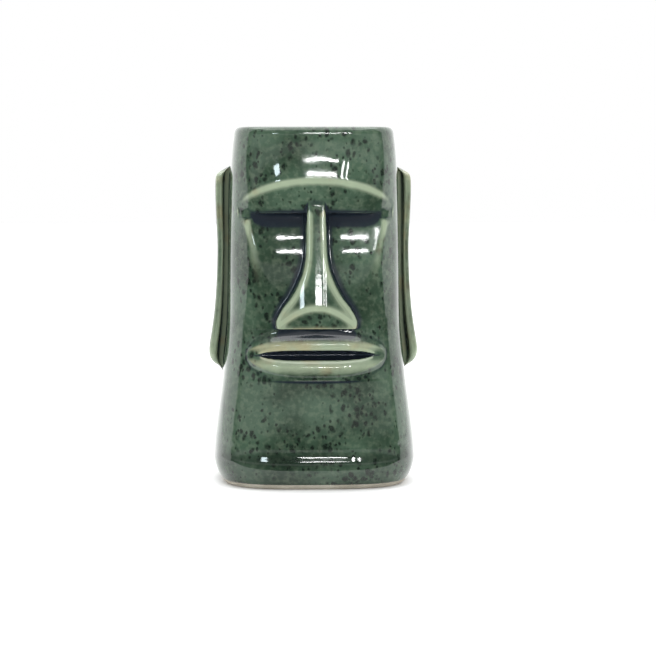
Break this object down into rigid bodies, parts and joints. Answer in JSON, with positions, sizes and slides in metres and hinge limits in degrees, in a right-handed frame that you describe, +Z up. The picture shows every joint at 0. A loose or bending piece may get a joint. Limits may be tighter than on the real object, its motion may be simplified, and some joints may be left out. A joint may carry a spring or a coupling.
{
  "type": "tiki mug",
  "caption": "Tall rounded-square ceramic mug shaped as a moai head, with brow, nose, mouth and side ears, glazed inside and out.",
  "frame": {"origin": "middle of the foot, on the table", "axes": "+Z up to the rim, -Y the way the face looks, +X to the right of someone looking at the face"},
  "size_m": [0.0952, 0.0883, 0.16],
  "materials": {
    "stoneware": "matt",
    "outer_glaze": "gloss",
    "liner_glaze": "gloss"
  },
  "bodies": {
    "root": {"clay_body": "stoneware", "left_ear": "stoneware", "right_ear": "stoneware", "outer_glaze": "outer_glaze", "liner_glaze": "liner_glaze"}
  },
  "joints": []
}
